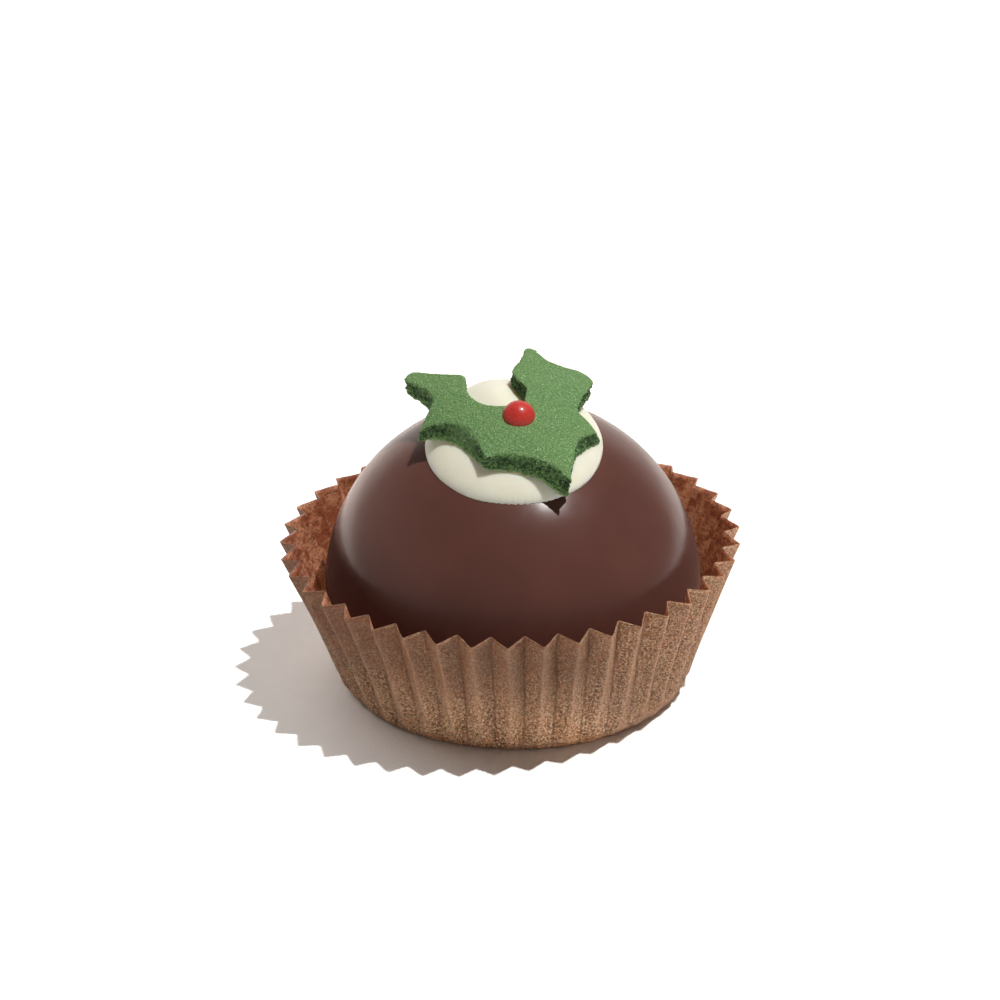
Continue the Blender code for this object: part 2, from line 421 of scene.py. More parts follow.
def make_outside_material():
    material, tree, surface, place = new_material("kraft_outside")
    fibres = grain(tree, place, 0.23, 0.42, 0.60)
    pale = grain(tree, place, 0.17, 0.53, 0.61)
    flecks = grain(tree, place, 0.19, 0.51, 0.59)
    clouds = grain(tree, place, 2.6, 0.36, 0.64)
    base = mix_colours(tree, clouds, rgb(188, 134, 104), rgb(190, 140, 93))
    base = mix_colours(tree, fibres, base, rgb(226, 168, 128))
    base = stain(tree, base, flecks, 0.95, rgb(72, 43, 31))
    base = stain(tree, base, pale, 0.95, rgb(255, 230, 190))
    # painted shade: a dark line in every inner crease; the pale line on every outer crease is partly rubbed
    # and partly a painted highlight
    base = stain(tree, base, attribute(tree, "crease_shade"), 0.6, rgb(92, 56, 42))
    base = stain(tree, base, attribute(tree, "rubbed_and_lit"), 0.45, rgb(244, 198, 162))
    axes = add_node(tree, "ShaderNodeSeparateXYZ", Vector=place)
    # painted light and shade: the colour is lighter at the foot and darker towards the rim, but even on the
    # right
    upward = smooth_ramp(tree, axes.outputs["Z"], -1.0 * MM, 10.0 * MM, 1.35, 0.42)
    aside = smooth_ramp(tree, axes.outputs["X"], 5.0 * MM, 10.5 * MM)
    even = calculate(tree, "MULTIPLY", aside, 0.76)
    rest = calculate(tree, "SUBTRACT", 1.0, aside)
    painted_light_scale = calculate(tree, "MULTIPLY_ADD", upward, rest, even)
    # painted shade: the colour darkens towards the left side
    left_painted_shade = add_node(tree, "ShaderNodeMapRange", Value=axes.outputs["X"], From_Min=-15.0 * MM,
                    From_Max=-7.0 * MM, To_Min=0.60, To_Max=1.0)
    painted_light_scale = calculate(tree, "MULTIPLY", painted_light_scale, left_painted_shade.outputs[0])
    painted_base = tree.nodes.new("ShaderNodeVectorMath")
    painted_base.operation = "SCALE"
    tree.links.new(base, painted_base.inputs[0])
    tree.links.new(painted_light_scale, painted_base.inputs["Scale"])
    set_inputs(tree, surface, Base_Color=painted_base.outputs[0], Roughness=0.55, Specular_IOR_Level=0.5)
    add_relief(tree, surface, fibres, 0.03 * MM)
    finish_paper(material, tree, surface, GLOW_OUTSIDE, rgb(240, 196, 160))
    return material


def make_inside_material():
    material, tree, surface, place = new_material("kraft_inside")
    soaked = grain(tree, place, 1.0, 0.36, 0.62)
    spots = grain(tree, place, 0.22, 0.46, 0.62)
    base = mix_colours(tree, soaked, rgb(220, 154, 122), rgb(146, 84, 66))
    base = stain(tree, base, spots, 0.55, rgb(104, 56, 42))
    # the pale line on the outer creases: partly rubbed, partly a painted highlight
    base = stain(tree, base, attribute(tree, "rubbed_and_lit"), 0.35, rgb(224, 178, 148))
    # painted reflection: where the inside is seen mirrored in the chocolate, a Light Path node makes it and
    # its glow a duller grey-brown
    mirrored = tree.nodes.new("ShaderNodeLightPath").outputs["Is Glossy Ray"]
    base = mix_colours(tree, mirrored, base, rgb(98, 78, 74))
    shine = add_node(tree, "ShaderNodeMapRange", Value=soaked, To_Min=0.55, To_Max=0.36)
    set_inputs(tree, surface, Base_Color=base, Roughness=shine.outputs[0], Specular_IOR_Level=0.45)
    add_relief(tree, surface, spots, 0.02 * MM)
    through = mix_colours(tree, soaked, rgb(252, 212, 180), rgb(230, 166, 128))
    through = stain(tree, through, spots, 0.55, rgb(150, 88, 66))
    through = mix_colours(tree, mirrored, through, rgb(112, 90, 84))
    finish_paper(material, tree, surface, GLOW_INSIDE, through)
    return material


# %% [markdown]
# ## Paper case: the folds
#
# A case like this starts as a flat round sheet, which a ribbed punch pushes into a ribbed ring.
# Its border is too long for the wall, and the spare length goes into the depth of forty pleats,
# so they are deep at the rim and fade out at the base. A displaced cylinder could look like
# this, but its wall would be stretched. Here each crease is placed by that rule, ring after
# ring, as it was on the plain solid. At the bottom the wall is rolled in to a soft foot.

# %% Rules of the folds
PLEATS = 40
FOLDS = 2 * PLEATS
BASE_RADIUS = 15.0 * MM
WALL_SLANT = 13.35 * MM
OUTER_FLARE = math.radians(19.5)
FOLD_FULLNESS = 0.9
RIM_SHIFT = Vector((-0.15, -0.70)) * MM
RIM_WAVES = ((2, 0.60 * MM, math.radians(25)), (3, 0.17 * MM, math.radians(35)))
PLEAT_DRIFT = ((2, math.radians(0.57), math.radians(52)), (3, math.radians(0.79), math.radians(71)))
FIRST_FOLD = math.radians(-0.5)
CREASE_WANDER = 0.16 * MM            # how far a crease strays sideways on its way up
WANDER_LENGTH = 5.0 * MM
RIM_UNEVENNESS = 0.06 * MM
FOOT_INSET = 0.50 * MM               # the foot is rolled in over this first bit of the wall
FOOT_ROLL = 1.3 * MM
FOOT_BULGE = 0.38 * MM               # the foot spread to the right-hand front
FOOT_BULGE_HEADING = math.radians(-38)
FOOT_BULGE_WIDTH = math.radians(75)


def clamp(value):
    return min(max(value, 0.0), 1.0)


def between(pair, share):
    return pair[0] + (pair[1] - pair[0]) * share


def waves(angle, terms):
    return sum(size * math.cos(count * (angle - peak)) for count, size, peak in terms)


def heading_share(heading, middle, width):
    """1 at the middle heading, 0 further from it than the width, and smooth between."""
    away = abs((heading - middle + math.pi) % (2 * math.pi) - math.pi)
    return 0.5 + 0.5 * math.cos(math.pi * min(away / width, 1.0))


def fold_depth(slant, mean_radius):
    """Depth of the pleats: the share of the sheet that is too wide for the wall goes there."""
    face = math.pi * (BASE_RADIUS + slant) / PLEATS
    half_pitch = math.pi * mean_radius / PLEATS
    return FOLD_FULLNESS * math.sqrt(max(face ** 2 - half_pitch ** 2, 0.0))


def crease_point(fold, slant):
    """A point of a crease: even creases stand out, odd creases go in and so stand higher."""
    angle = FIRST_FOLD + math.pi * fold / PLEATS
    angle += waves(angle, PLEAT_DRIFT)
    share = slant / WALL_SLANT
    run = slant * math.sin(OUTER_FLARE)
    if fold % 2:
        run -= fold_depth(slant, BASE_RADIUS + run)
    height = math.sqrt(slant ** 2 - run ** 2)
    radius = BASE_RADIUS + run + share ** 2 * waves(angle, RIM_WAVES)
    radius += FOOT_BULGE * (1.0 - share) ** 2 * heading_share(angle, FOOT_BULGE_HEADING, FOOT_BULGE_WIDTH)
    radius -= FOOT_INSET * max(1.0 - slant / FOOT_ROLL, 0.0) ** 2
    stray = noise.noise(Vector((1.7 * fold, slant / WANDER_LENGTH, 0.5)))
    angle += CREASE_WANDER * stray * 4.0 * share * (1.0 - share) / radius
    return Vector((radius * math.cos(angle) + share ** 2 * RIM_SHIFT.x,
                   radius * math.sin(angle) + share ** 2 * RIM_SHIFT.y,
                   height))


# %% [markdown]
# Between two creases the paper isn't quite flat. Each face has a faint second fold where it
# slipped in the press, and long shallow wrinkles run up it. The outer creases were bent round
# the ribs of the press and are blunt, while the inner ones were nipped sharp. Averaging a few
# points on either side rounds each by just that much.

# %% Paper between the creases
PAPER = 0.07 * MM
COLUMNS = (0.0, 0.045, 0.13, 0.31, 0.50, 0.69, 0.87, 0.955)    # crowded beside the creases
WALL_RINGS = 40
RING_CROWDING = 1.4                  # above 1 the rings crowd towards the base, where it bends
# rounding of the creases as a share of the paper beside them, at the foot and at the rim
SOFT_OUTER = (0.26, 0.10)
SOFT_INNER = (0.12, 0.03)
SLIP_DEPTH = 0.13 * MM
chance = random.Random(11)
SLIPS = [(chance.uniform(0.25, 0.75), chance.uniform(-1.0, 1.0)) for _ in range(FOLDS)]
WRINKLE_DEPTH = 0.10 * MM
WRINKLES_ACROSS = 2.3                # per face, round the case
WRINKLES_UP = 2.0                    # over the height of the wall
BASE_RINGS = (14.1 * MM, 13.5 * MM, 12.6 * MM)
FOOT_SMOOTHING = 3
FOOT_TOP = 0.8 * MM                  # what lies below this and outside that radius is smoothed
FOOT_INSIDE = 13.5 * MM
RUB_AND_LIGHT_NARROWNESS = 4.5              # how fast the two marks fade away from their crease
CREASE_SHADE_NARROWNESS = 12.0
MARKS_START = 3.0                    # how fast they set in above the foot


def paper_between(ring, fold, share_up):
    """A point between two creases of a ring of creases, with the face's faint second fold."""
    number = math.floor(fold)
    across = fold - number
    start, end = ring[number % FOLDS], ring[(number + 1) % FOLDS]
    place, depth = SLIPS[number % FOLDS]
    slope = across / place if across < place else (1.0 - across) / (1.0 - place)
    out = (end - start).cross(Vector((0.0, 0.0, 1.0))).normalized()
    return start.lerp(end, across) + out * (SLIP_DEPTH * depth * slope * math.sin(math.pi * share_up))


def soft_paper(ring, fold, share_up):
    outer = 0.5 + 0.5 * math.cos(math.pi * fold)
    rim = min(share_up * 2.2, 1.0)
    softness = between((between(SOFT_INNER, rim), between(SOFT_OUTER, rim)), outer)
    steps = (-1.0, -0.5, 0.0, 0.5, 1.0)
    points = [paper_between(ring, fold + softness * step, share_up) for step in steps]
    point = sum(points, Vector()) / len(points)
    wrinkle = noise.noise(Vector((WRINKLES_ACROSS * fold, WRINKLES_UP * share_up, 3.7)))
    return point + point.xy.normalized().to_3d() * (WRINKLE_DEPTH * wrinkle * min(share_up * 6.0, 1.0))


# %% Case mesh
def grow_ring(shape, edges):
    """Extrudes a ring of edges; returns the new edges and the new points."""
    grown = bmesh.ops.extrude_edge_only(shape, edges=edges)["geom"]
    return tuple([item for item in grown if isinstance(item, kind)]
                 for kind in (bmesh.types.BMEdge, bmesh.types.BMVert))


def relax(shape, verts, rounds):
    """Moves each point half of the way to the mean of its neighbours, a few times."""
    for _ in range(rounds):
        bmesh.ops.smooth_vert(shape, verts=verts, factor=0.5, use_axis_x=True, use_axis_y=True,
                              use_axis_z=True)


def make_case():
    shape = bmesh.new()
    bmesh.ops.create_circle(shape, segments=FOLDS * len(COLUMNS), radius=BASE_RADIUS)
    column = shape.verts.layers.int.new("column")
    for number, vert in enumerate(shape.verts):
        vert[column] = number
    first_ring = list(shape.edges)
    rubbed_and_lit, crease_shade = (shape.verts.layers.float.new(name) for name in ("rubbed_and_lit", "crease_shade"))

    ring_edges = first_ring
    rows = [(0.0, list(shape.verts))]
    for step in range(1, WALL_RINGS + 1):
        ring_edges, verts = grow_ring(shape, ring_edges)
        rows.append((step / WALL_RINGS, verts))
    for share, verts in rows:
        slant = WALL_SLANT * share ** RING_CROWDING
        ring = [crease_point(fold, slant) for fold in range(FOLDS)]
        for vert in verts:
            fold = vert[column] // len(COLUMNS) + COLUMNS[vert[column] % len(COLUMNS)]
            vert.co = soft_paper(ring, fold, slant / WALL_SLANT)
            nearest = round(fold)
            # the inner creases get a mark of painted shade, the outer ones a mark that is partly rub and
            # partly painted highlight
            mark, narrowness = (crease_shade, CREASE_SHADE_NARROWNESS) if nearest % 2 else (rubbed_and_lit, RUB_AND_LIGHT_NARROWNESS)
            vert[mark] = max(0.0, 1.0 - abs(fold - nearest) * narrowness) * min(share * MARKS_START, 1.0)
            if share == 1.0:
                vert.co.z += RIM_UNEVENNESS * noise.noise(Vector((fold * 0.37, 2.5, 0.0)))

    ring_edges = first_ring
    for radius in BASE_RINGS:
        ring_edges, verts = grow_ring(shape, ring_edges)
        for vert in verts:
            vert.co = (rows[0][1][vert[column]].co.normalized() * radius).to_3d()
            vert.co.z = 0.0
    bmesh.ops.edgeloop_fill(shape, edges=ring_edges)
    foot = [vert for vert in shape.verts if vert.co.z < FOOT_TOP and vert.co.xy.length > FOOT_INSIDE]
    relax(shape, foot, FOOT_SMOOTHING)
    bmesh.ops.recalc_face_normals(shape, faces=shape.faces)
    base = min(shape.faces, key=lambda face: face.calc_center_median().z)
    if base.normal.z > 0:
        bmesh.ops.reverse_faces(shape, faces=shape.faces)
    piece = new_piece("pleated_case", shape, "paper_case",
                      (make_outside_material(), make_inside_material()))
    sheet = piece.modifiers.new("Sheet", "SOLIDIFY")
    sheet.thickness = PAPER
    sheet.offset = -1.0
    sheet.material_offset = 1
    return piece


pleated_case = make_case()
report(pleated_case)

# %% Soft light on the case
CASE_LIGHT_COLOUR = (1.0, 0.93, 0.88)
# name, the way to it, its side and its power
CASE_LIGHTS = (("case_side_light", Vector((1.0, -0.15, 0.10)), 0.3, 1.7),
               ("case_back_light", Vector((-0.45, 1.0, 0.25)), 0.4, 2.8))
for name, direction, side, power in CASE_LIGHTS:
    add_soft_lamp(name, direction, side, power, CASE_LIGHT_COLOUR, pleated_case)

# %% [markdown]
# ## Chocolate ball: the finish
#
# Milk chocolate is a warm brown with a satin gloss: it mirrors the room as broad soft patches,
# which grow pale near the edge of the ball. A Principled surface does that with a middling
# roughness. The brown shifts a little from place to place, the gloss is duller where cocoa
# butter has come up, and a few grains lie in it.

# %% Chocolate finish
def make_chocolate_material():
    material, tree, surface, place = new_material("milk_chocolate")
    drift = grain(tree, place, 7.0, 0.30, 0.70)
    haze = grain(tree, place, 2.4, 0.35, 0.75)
    grains = grain(tree, place, 0.22, 0.62, 0.74)
    base = mix_colours(tree, drift, (0.095, 0.036, 0.028, 1.0), (0.109, 0.041, 0.0315, 1.0))
    base = stain(tree, base, grains, 0.2, (0.085, 0.034, 0.026, 1.0))
    satin = add_node(tree, "ShaderNodeMapRange", Value=haze, To_Min=0.22, To_Max=0.265)
    set_inputs(tree, surface, Base_Color=base, Roughness=satin.outputs[0], IOR=1.48,
               Specular_IOR_Level=0.5, Sheen_Weight=0.24, Sheen_Roughness=0.4,
               Sheen_Tint=(1.0, 0.62, 0.52, 1.0))
    add_relief(tree, surface, haze, 0.005 * MM)
    return material


# %% [markdown]
# ## Chocolate ball: the form
#
# The ball is a profile spun round the axis: an arc down to its waist, then a flank that draws
# in to a flat foot with a rounded edge. A sphere primitive would have no foot. After the spin
# every point moves by a few hundredths of a millimetre, the slow waves of a poured shell.

# %% Ball mesh
BALL_RADIUS = 16.15 * MM
BALL_CENTRE = Vector((0.07, -0.25, 8.30)) * MM
FLANK_TOP = 8.6 * MM
FOOT_RADIUS = 12.4 * MM
FOOT_EDGE = 0.6 * MM
FLANK_POWER = 1.5
BALL_STEPS = 160
ARC_POINTS = 56
FLANK_POINTS = 20
FOOT_EDGE_POINTS = 6
BALL_WAVES = ((6.0 * MM, 0.035 * MM), (2.5 * MM, 0.010 * MM))    # length and depth of each wave


def arc(radius, start, end, count):
    """Points (radius, height) on a circle about the origin, by angle from straight up."""
    angles = [start + (end - start) * step / count for step in range(count + 1)]
    return [(radius * math.sin(angle), radius * math.cos(angle)) for angle in angles]


def spin_profile(points, steps):
    """Turns a line of (radius, height) points, on the axis at both ends, into a closed skin."""
    shape = bmesh.new()
    line = [shape.verts.new((radius, 0.0, height)) for radius, height in points]
    edges = [shape.edges.new(pair) for pair in zip(line, line[1:])]
    bmesh.ops.spin(shape, geom=line + edges, cent=(0, 0, 0), axis=(0, 0, 1), dvec=(0, 0, 0),
                   angle=2 * math.pi, steps=steps, use_merge=True, use_duplicate=False)
    bmesh.ops.remove_doubles(shape, verts=shape.verts, dist=0.0005 * MM)
    bmesh.ops.recalc_face_normals(shape, faces=shape.faces)
    return shape


def roughen(shape, layers):
    """Moves each point in or out along its normal by layers of noise: (length, depth) pairs."""
    moves = []
    for vert in shape.verts:
        depth = sum(size * noise.noise(vert.co / length) for length, size in layers)
        moves.append(vert.normal * depth)
    for vert, move in zip(shape.verts, moves):
        vert.co += move


def make_ball():
    foot_height = PAPER + 0.02 * MM
    flank_angle = math.acos((FLANK_TOP - BALL_CENTRE.z) / BALL_RADIUS)
    points = arc(BALL_RADIUS, 0.0, flank_angle, ARC_POINTS)
    lowest = foot_height + FOOT_EDGE
    waist = points[-1][0]
    for step in range(1, FLANK_POINTS + 1):
        share = step / FLANK_POINTS
        points.append((waist - (waist - FOOT_RADIUS) * share ** FLANK_POWER,
                       FLANK_TOP + (lowest - FLANK_TOP) * share - BALL_CENTRE.z))
    for across, rise in arc(FOOT_EDGE, math.pi / 2, math.pi, FOOT_EDGE_POINTS)[1:]:
        points.append((FOOT_RADIUS - FOOT_EDGE + across, lowest + rise - BALL_CENTRE.z))
    points += [(share * (FOOT_RADIUS - FOOT_EDGE), foot_height - BALL_CENTRE.z) for share in (0.8, 0.4, 0.0)]
    shape = spin_profile(points, BALL_STEPS)
    shape.normal_update()
    roughen(shape, BALL_WAVES)
    bmesh.ops.translate(shape, verts=shape.verts, vec=BALL_CENTRE)
    return new_piece("chocolate_ball", shape, "truffle", (make_chocolate_material(),))


chocolate_ball = make_ball()
report(chocolate_ball)

# %% [markdown]
# ## Icing: the finish
#
# Poured white icing is cream-coloured, smooth and a little see-through: light enters it and
# comes out softened close by, which is subsurface scattering in the Principled surface. A thin,
# uneven dullness keeps the gloss from looking like plastic.

# %% Icing finish
def make_icing_material():
    material, tree, surface, place = new_material("white_icing")
    drift = grain(tree, place, 3.5, 0.30, 0.70)
    dull = grain(tree, place, 0.8, 0.30, 0.70)
    base = mix_colours(tree, drift, (0.815, 0.79, 0.655, 1.0), (0.85, 0.83, 0.705, 1.0))
    gloss = add_node(tree, "ShaderNodeMapRange", Value=dull, To_Min=0.30, To_Max=0.42)
    set_inputs(tree, surface, Base_Color=base, Roughness=gloss.outputs[0], Subsurface_Weight=0.8,
               Subsurface_Radius=(1.0, 0.8, 0.5), Subsurface_Scale=0.9 * MM)
    add_relief(tree, surface, dull, 0.008 * MM)
    return material


# %% [markdown]
# ## Icing: the form
#
# The icing and the leaf lie on the ball round one axis, tipped nine degrees to the front, where
# the icing ran before it set. The pool is spun like the ball. It thins out to its edge in front
# and keeps a full round lip behind the leaf. The leaf was pressed into it, so it bulges up
# between the leaf's two halves, and its edge has crept out unevenly.

# %% Icing mesh
TOPPING_TILT = math.radians(9.0)
TOPPING_FRAME = Matrix.Translation(BALL_CENTRE) @ Matrix.Rotation(TOPPING_TILT, 4, "X")
ICING_SPREAD = math.radians(28.05)
ICING_DEPTH = 1.70 * MM
# how it falls to its edge, where it ran thin and where it stayed full, behind the leaf
ICING_POWER = (3.0, 6.0)
ICING_ROOT = (0.70, 0.50)
FULL_HEADING = math.radians(70)
FULL_WIDTH = math.radians(115)
ICING_STEPS = 240
ICING_RINGS = 44
ICING_SINK = 0.25 * MM               # the underside lies this far inside the chocolate
BULGE = 0.78 * MM
BULGE_HEADING = math.radians(115)     # round the axis, from +X
BULGE_WIDTH = math.radians(54)
BULGE_START = 0.45                   # share of the way out where it has its full height
# how the edge strays from a circle: times round, size, heading of a peak
EDGE_WAVES = ((1, math.radians(0.36), math.radians(-55)), (2, math.radians(0.30), math.radians(-80)),
              (5, math.radians(0.12), math.radians(20)), (9, math.radians(0.06), math.radians(5)))
CRINKLE = 0.05 * MM
CRINKLES = 150
CRINKLE_HEADING = math.radians(-80)
CRINKLE_WIDTH = math.radians(40)


def ease(value):
    """Holds a value between 0 and 1 and eases it in and out."""
    value = clamp(value)
    return value * value * (3.0 - 2.0 * value)


def icing_fall(share, full):
    """The share of the icing's depth that is left at a share of the way to its edge."""
    return max(1.0 - share ** between(ICING_POWER, full), 0.0) ** between(ICING_ROOT, full)


def icing_point(share, heading):
    """A point of the icing's top, by its share of the way to the edge and its heading."""
    spread = ICING_SPREAD + waves(heading, EDGE_WAVES)
    grown = ease(share / BULGE_START)
    depth = ICING_DEPTH + BULGE * grown * heading_share(heading, BULGE_HEADING, BULGE_WIDTH)
    angle = spread * share
    radius = BALL_RADIUS + depth * icing_fall(share, heading_share(heading, FULL_HEADING, FULL_WIDTH))
    near_edge = max(share - 0.9, 0.0) / 0.1
    ripple = CRINKLE * heading_share(heading, CRINKLE_HEADING, CRINKLE_WIDTH) * near_edge
    radius += 0.6 * ripple * math.sin(CRINKLES * heading)
    angle += ripple * math.sin(CRINKLES * heading) / BALL_RADIUS
    return Vector((radius * math.sin(angle) * math.cos(heading),
                   radius * math.sin(angle) * math.sin(heading), radius * math.cos(angle)))


def make_icing():
    shares = [math.sin(0.5 * math.pi * step / ICING_RINGS) for step in range(ICING_RINGS + 1)]
    points = [(share, 1.0) for share in shares] + [(1.0, 0.0), (0.6, 0.0), (0.0, 0.0)]
    shape = spin_profile(points, ICING_STEPS)
    for vert in shape.verts:
        share = min(vert.co.xy.length, 1.0)
        heading = math.atan2(vert.co.y, vert.co.x)
        if vert.co.z > 0.5:
            vert.co = icing_point(share, heading)
        else:
            edge = icing_point(1.0, heading)
            angle = edge.angle(Vector((0.0, 0.0, 1.0))) * share
            under = BALL_RADIUS - ICING_SINK
            vert.co = under * Vector((math.sin(angle) * math.cos(heading),
                                      math.sin(angle) * math.sin(heading), math.cos(angle)))
    bmesh.ops.recalc_face_normals(shape, faces=shape.faces)
    bmesh.ops.transform(shape, matrix=TOPPING_FRAME, verts=shape.verts)
    return new_piece("poured_icing", shape, "icing", (make_icing_material(),))


poured_icing = make_icing()
report(poured_icing)

# %% [markdown]
# ## Holly leaf: the finish
#
# The leaf is cut from green sugar paste rolled in fine sugar. Its top is pale and powdery and
# glints with grains. The cut sides are bare paste, deeper in colour and crumbly. One material
# covers both: an attribute of the mesh, 0 on the top and 1 on the sides, blends between them.
# Two more attributes paint shade into a furrow along the sides and light onto their pale foot.

# %% Sugar paste finish
def make_leaf_material():
    material, tree, surface, place = new_material("green_sugar_paste")
    powder = grain(tree, place, 0.15, 0.38, 0.64)
    dark = grain(tree, place, 0.13, 0.56, 0.68)
    crumbs = grain(tree, place, 0.26, 0.40, 0.60)
    glints = grain(tree, place, 0.11, 0.64, 0.71)
    patches = grain(tree, place, 3.0, 0.30, 0.70)
    top = mix_colours(tree, powder, rgb(88, 131, 76), rgb(127, 163, 107))
    top = stain(tree, top, patches, 0.3, rgb(112, 142, 78))
    top = stain(tree, top, dark, 0.45, rgb(54, 92, 48))
    side = mix_colours(tree, crumbs, rgb(38, 74, 36), rgb(108, 148, 86))
    # painted shade darkens the furrow along the sides
    side = stain(tree, side, attribute(tree, "furrow_shade"), 0.60, rgb(26, 54, 28))
    # painted light: a pale rim where the sides slope out at their foot
    side = stain(tree, side, attribute(tree, "rim"), 0.8, rgb(166, 194, 128))
    base = mix_colours(tree, attribute(tree, "wall"), top, side)
    base = stain(tree, base, glints, 0.55, rgb(205, 218, 184))
    set_inputs(tree, surface, Base_Color=base, Roughness=0.8, Specular_IOR_Level=0.35)
    height = calculate(tree, "ADD", powder, calculate(tree, "MULTIPLY", crumbs, 1.4))
    add_relief(tree, surface, height, 0.035 * MM)
    return material


# %% [markdown]
# ## Holly leaf: the form
#
# The leaf's outline is a list of corners, with bowed sides between them and rounding that is
# strongest at the two far ends. The flat shape is thickened, its foot spreads where it was
# pressed down, and it is bent over the icing and sinks with it in front. A voxel remesh gives
# it an even skin, fine enough for smoothing to round its edges and noise to break up its sides.

# %% Leaf outline
LEAF_TOP_RADIUS = 19.3 * MM
LEAF_CORNERS = (
    # in millimetres: x and y of the top edge and how far its next side bows in, as a share of
    # that side's length, and then the same three values of the foot
    (0.85, -0.17, 0.00, 1.01, -0.01, 0.00),
    (1.10, 1.92, 0.00, 1.20, 2.25, 0.00),
    (-0.35, 4.40, 0.07, -0.45, 5.20, 0.05),
    (0.92, 10.50, 0.00, 1.13, 10.80, 0.00),
    (1.85, 10.45, 0.30, 2.02, 10.55, 0.30),
    (5.95, 7.35, -0.04, 6.20, 7.60, -0.04),
    (7.15, 5.10, 0.03, 7.35, 5.40, 0.03),
    (5.52, 0.02, -0.04, 5.71, 0.21, -0.04),
    (7.64, -1.88, 0.10, 9.09, -0.07, 0.00),
    (5.66, -3.76, 0.04, 6.00, -4.29, 0.04),
    (5.17, -8.51, 0.13, 5.60, -8.65, 0.043),
    (-2.56, -6.23, 0.22, -2.80, -6.51, 0.063),
    (-8.68, -1.03, 0.02, -9.68, 0.17, 0.02),
    (-6.68, 1.64, 0.07, -7.80, 2.34, 0.03),
    (-9.40, 5.70, -0.03, -9.90, 6.20, -0.03),
    (-8.75, 7.20, 0.04, -8.99, 7.45, 0.04),
    (-4.00, 4.45, 0.00, -4.28, 4.55, 0.00),
    (-3.87, 1.52, 0.23, -3.94, 1.66, 0.23),
)
LEAF_SIDE_POINTS = 14
LEAF_ROUNDING = (0.22 * MM, 0.75 * MM)    # of its corners, in front and at its two far ends
LEAF_THICKNESS = 1.55 * MM
LEAF_TIP_RISE = 1.15 * MM            # the paste is thicker at the front tip
LEAF_TIP_LENGTH = 3.3 * MM
LEAF_CELL = 0.9 * MM                 # the slab is cut into cells of this size before it is bent
LEAF_CELL_OFFSET = 0.37              # no cut runs exactly along a side
LEAF_REACH = 10.5 * MM
LEAF_FRONT_TIP = Vector((4.85, -9.4)) * MM     # where its lift is measured from
LEAF_TIP_CORNER = Vector((5.17, -8.51)) * MM
LEAF_AXIS = Vector((math.cos(math.radians(115)), math.sin(math.radians(115))))
LEAF_LIFT_START = 8.0 * MM
LEAF_LIFT_END = 20.0 * MM
LEAF_LIFT = 1.1 * MM
LEAF_RIPPLE = 0.08 * MM
LEAF_RIPPLE_LENGTH = 9.0 * MM
DROOP_BACK = 3.5 * MM                # in front of this line the leaf sinks with the icing
DROOP_FRONT = -1.0 * MM
DROOP_END = 0.45 * MM                # its tips end this far above the chocolate


def wrap(flat, radius):
    """Lays a point of a flat sheet on a ball, in the topping's own frame."""
    reach = flat.length
    if reach < 1e-9:
        return Vector((0.0, 0.0, radius))
    angle = reach / LEAF_TOP_RADIUS
    out = flat / reach
    return radius * Vector((out.x * math.sin(angle), out.y * math.sin(angle), math.cos(angle)))


def leaf_lift(flat):
    """How far the leaf stands off its shell: it sinks in front, where the icing under it gets
    thin, and stands up at its two far tips."""
    spread = min(flat.length / LEAF_TOP_RADIUS / ICING_SPREAD, 1.0)
    bed = ((ICING_DEPTH * icing_fall(spread, 0.0)) ** 4 + DROOP_END ** 4) ** 0.25
    front = ease((DROOP_BACK - flat.y) / (DROOP_BACK - DROOP_FRONT))
    along = (flat - LEAF_FRONT_TIP).dot(LEAF_AXIS)
    share = max(along - LEAF_LIFT_START, 0.0) / (LEAF_LIFT_END - LEAF_LIFT_START)
    ripple = LEAF_RIPPLE * (1.0 + math.sin(2 * math.pi * (flat.x - flat.y) / LEAF_RIPPLE_LENGTH))
    return LEAF_LIFT * share ** 2 + ripple * (1.0 - 0.8 * front) - (ICING_DEPTH - bed) * front


def leaf_radius(flat, share):
    """The radius of a point of the leaf: share 0 is its foot and 1 its top."""
    rise = LEAF_TIP_RISE * math.exp(-((flat - LEAF_TIP_CORNER).length / LEAF_TIP_LENGTH) ** 2)
    foot = LEAF_TOP_RADIUS + leaf_lift(flat) - LEAF_THICKNESS
    return foot + share * (LEAF_THICKNESS + rise)


def unwrap(place):
    """The other way round: the flat point, and the depth below the leaf's top as a share."""
    angle = place.angle(Vector((0.0, 0.0, 1.0)))
    flat = place.xy.normalized() * angle * LEAF_TOP_RADIUS
    foot, top = leaf_radius(flat, 0.0), leaf_radius(flat, 1.0)
    return flat, (top - place.length) / (top - foot)


def rounded_outline(points):
    """Rounds a closed outline: each point becomes the mean of five places on it nearby."""
    sides = [(start, end, (end - start).length) for start, end in zip(points, points[1:] + points[:1])]
    whole = sum(length for _, _, length in sides)

    def place(distance):
        distance %= whole
        for start, end, length in sides:
            if distance <= length:
                return start.lerp(end, distance / length)
            distance -= length
        return points[0]

    rounded = []
    at = 0.0
    for start, _, length in sides:
        far = clamp(start.y / (5.0 * MM))
        reach = between(LEAF_ROUNDING, far)
        near = [place(at + reach * step) for step in (-1.0, -0.5, 0.0, 0.5, 1.0)]
        rounded.append(sum(near, Vector((0.0, 0.0))) / len(near))
        at += length
    return rounded


def bowed_outline(corners):
    """Points round a shape of (x, y, bow) corners, whose sides bow in or out."""
    corners = [(Vector((x, y)) * MM, bow) for x, y, bow in corners]
    points = []
    for (start, bow), (end, _) in zip(corners, corners[1:] + corners[:1]):
        side = end - start
        inward = Vector((side.y, -side.x)) * bow
        for step in range(LEAF_SIDE_POINTS):
            share = step / LEAF_SIDE_POINTS
            points.append(start + side * share + inward * 4.0 * share * (1.0 - share))
    return rounded_outline(points)


